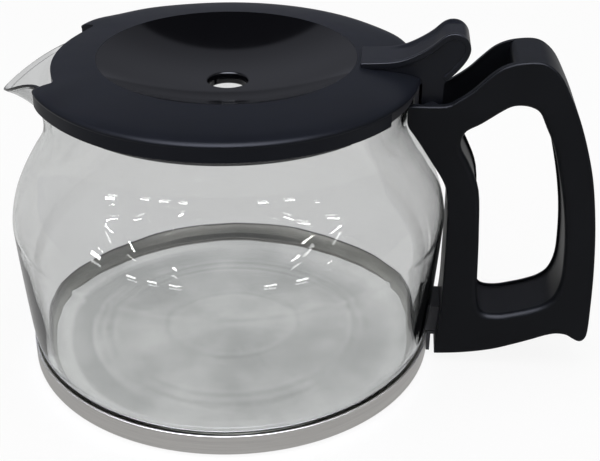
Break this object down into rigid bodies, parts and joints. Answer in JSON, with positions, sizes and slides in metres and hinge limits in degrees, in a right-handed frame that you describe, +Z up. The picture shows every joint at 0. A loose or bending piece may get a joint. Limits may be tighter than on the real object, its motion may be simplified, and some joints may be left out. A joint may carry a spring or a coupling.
{
  "type": "coffee server carafe",
  "caption": "Wide glass coffee jug with a pouring spout, a steel foot band, a black loop handle and a hinged dished lid with a thumb lever.",
  "frame": {"origin": "centre of the glass base, on the surface that the jug stands on", "axes": "+Z up along the jug's axis, +X towards the handle, -X towards the spout"},
  "size_m": [0.2029, 0.149, 0.1211],
  "materials": {
    "glass": "clear blown glass",
    "brushed_band": "brushed round the band",
    "silicone": "matt black silicone",
    "coated_steel": "black coated steel strip",
    "handle_black": "fine satin moulding texture",
    "liner_black": "smooth satin moulding",
    "fastener_steel": "plain turned steel",
    "lid_satin": "fine satin moulding texture",
    "lid_gloss": "polished black moulding"
  },
  "bodies": {
    "jug": {"glass_jug": "glass", "base_band": "brushed_band", "base_seal": "silicone", "foot_bracket": "coated_steel", "neck_ring": "coated_steel", "neck_bracket": "coated_steel", "handle_shell": "handle_black", "handle_liner": "liner_black", "foot_cushion": "silicone", "head_screw": "fastener_steel", "head_nut": "fastener_steel", "foot_screw": "fastener_steel", "foot_nut": "fastener_steel", "hinge_pin": "fastener_steel"},
    "lid": {"lid_ring": "lid_satin", "lid_dish": "lid_gloss", "thumb_lever": "lid_satin"}
  },
  "joints": [
    {"name": "lid_hinge", "type": "hinge", "parent": "jug", "child": "lid", "pos_m": [0.0672, 0, 0.0945], "axis": [0, 1, 0], "range_deg": [0, 45]}
  ]
}
